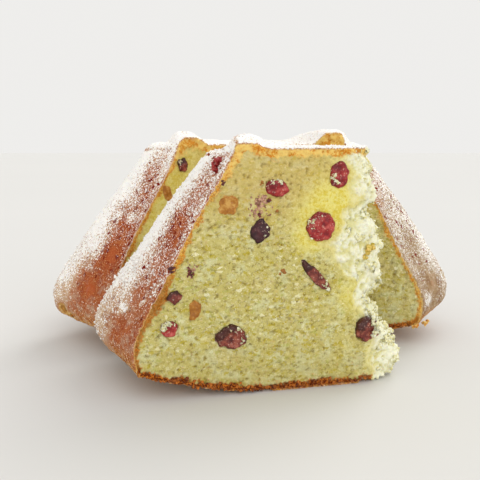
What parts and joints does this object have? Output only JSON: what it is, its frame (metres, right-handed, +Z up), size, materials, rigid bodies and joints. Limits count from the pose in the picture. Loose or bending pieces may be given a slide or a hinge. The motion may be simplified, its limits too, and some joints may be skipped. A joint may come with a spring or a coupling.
{
  "type": "cut festive fruit loaf (panettone)",
  "caption": "Star-moulded sweet fruit loaf dusted with icing sugar, cut open, with one slice standing against the notch it came from.",
  "frame": {"origin": "middle of the footprint of the loaf and its slice, on the surface they stand on", "axes": "+Z up, +Y towards the uncut back of the loaf, -Y towards the slice's front cut, +X to the right of someone facing that cut"},
  "size_m": [0.2356, 0.2262, 0.1203],
  "materials": {
    "cake": "baked sweet dough: brown crust dusted with icing sugar outside, yellow crumb at the cuts",
    "raisin": "wrinkled dark raisin with a soft gloss",
    "cranberry": "red dried cranberry with a moist gloss",
    "peel": "translucent candied orange peel"
  },
  "bodies": {
    "root": {"cake_rest": "cake", "cake_slice": "cake", "cranberry_tip_high": "cranberry", "cranberry_high": "cranberry", "cranberry_round": "cranberry", "raisin_high": "raisin", "peel_high": "peel", "raisin_long": "raisin", "raisin_low": "raisin", "raisin_torn_edge": "raisin", "cranberry_low": "cranberry", "raisin_crust_low": "raisin", "peel_low": "peel", "raisin_rest_high": "raisin", "peel_rest_high": "peel", "cranberry_rest_left": "cranberry", "raisin_rest_left": "raisin", "cranberry_rest_right": "cranberry", "raisin_rest_right": "raisin", "peel_rest_right": "peel", "raisin_rest_low": "raisin", "cranberry_back_high": "cranberry", "raisin_back_mid": "raisin", "cranberry_back_mid": "cranberry", "peel_back_low": "peel", "raisin_back_low": "raisin"}
  },
  "joints": []
}
